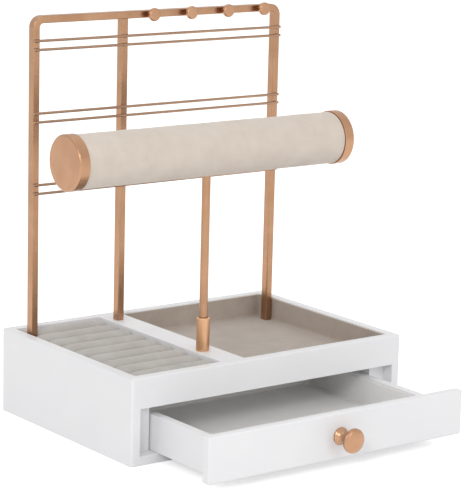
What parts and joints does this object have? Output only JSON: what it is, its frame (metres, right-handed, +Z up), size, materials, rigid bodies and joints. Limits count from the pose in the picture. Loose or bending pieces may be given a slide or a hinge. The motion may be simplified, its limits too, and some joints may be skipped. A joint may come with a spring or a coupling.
{
  "type": "jewelry stand with drawer",
  "caption": "Lacquered jewelry stand with a ring tray, an open tray, a pull-out drawer, a metal hanging frame with cross wires and a padded bracelet bar.",
  "frame": {"origin": "middle of the box's footprint, on the table", "axes": "+Z up, the drawer opens towards -Y, the ring tray is on the -X side"},
  "size_m": [0.327, 0.3178, 0.3566],
  "materials": {
    "white_lacquer": "smooth white satin lacquer on fibreboard",
    "rose_gold_metal": "satin rose gold plating, finely brushed",
    "roll_velvet": "short pile cream velvet",
    "ring_velvet": "short pile warm grey velvet",
    "tray_velvet": "short pile taupe velvet",
    "drawer_velvet": "short pile grey velvet sheet",
    "core_card": "plain wound card tube",
    "zinc_screw": "bright zinc plating"
  },
  "bodies": {
    "stand": {"back_panel": "white_lacquer", "bar_core_tube": "core_card", "bar_post": "rose_gold_metal", "bar_post_screw": "zinc_screw", "bar_velvet_cover": "roll_velvet", "base_panel": "white_lacquer", "bottom_pair_lower_wire": "rose_gold_metal", "bottom_pair_upper_wire": "rose_gold_metal", "deck_panel": "white_lacquer", "frame_hoop": "rose_gold_metal", "front_rail": "white_lacquer", "left_bay_stile": "white_lacquer", "left_drawer_guide": "white_lacquer", "left_end_cap": "rose_gold_metal", "left_leg_screw": "zinc_screw", "left_side_panel": "white_lacquer", "middle_pair_lower_wire": "rose_gold_metal", "middle_pair_upper_wire": "rose_gold_metal", "middle_post": "rose_gold_metal", "middle_post_screw": "zinc_screw", "necklace_peg_1": "rose_gold_metal", "necklace_peg_2": "rose_gold_metal", "necklace_peg_3": "rose_gold_metal", "necklace_peg_4": "rose_gold_metal", "post_ferrule": "rose_gold_metal", "right_bay_stile": "white_lacquer", "right_drawer_guide": "white_lacquer", "right_end_cap": "rose_gold_metal", "right_leg_screw": "zinc_screw", "right_side_panel": "white_lacquer", "ring_roll_1": "ring_velvet", "ring_roll_2": "ring_velvet", "ring_roll_3": "ring_velvet", "ring_roll_4": "ring_velvet", "ring_roll_5": "ring_velvet", "ring_roll_6": "ring_velvet", "ring_roll_7": "ring_velvet", "ring_roll_8": "ring_velvet", "ring_roll_9": "ring_velvet", "top_pair_lower_wire": "rose_gold_metal", "top_pair_upper_wire": "rose_gold_metal", "tray_divider": "white_lacquer", "tray_lining": "tray_velvet"},
    "drawer": {"drawer_back": "white_lacquer", "drawer_bottom": "white_lacquer", "drawer_front": "white_lacquer", "drawer_knob": "rose_gold_metal", "drawer_left_side": "white_lacquer", "drawer_liner": "drawer_velvet", "drawer_right_side": "white_lacquer", "knob_screw": "zinc_screw"}
  },
  "joints": [
    {"name": "drawer_slide", "type": "slide", "parent": "stand", "child": "drawer", "axis": [0, -1, 0], "range_m": [-0.097, 0.048]}
  ]
}
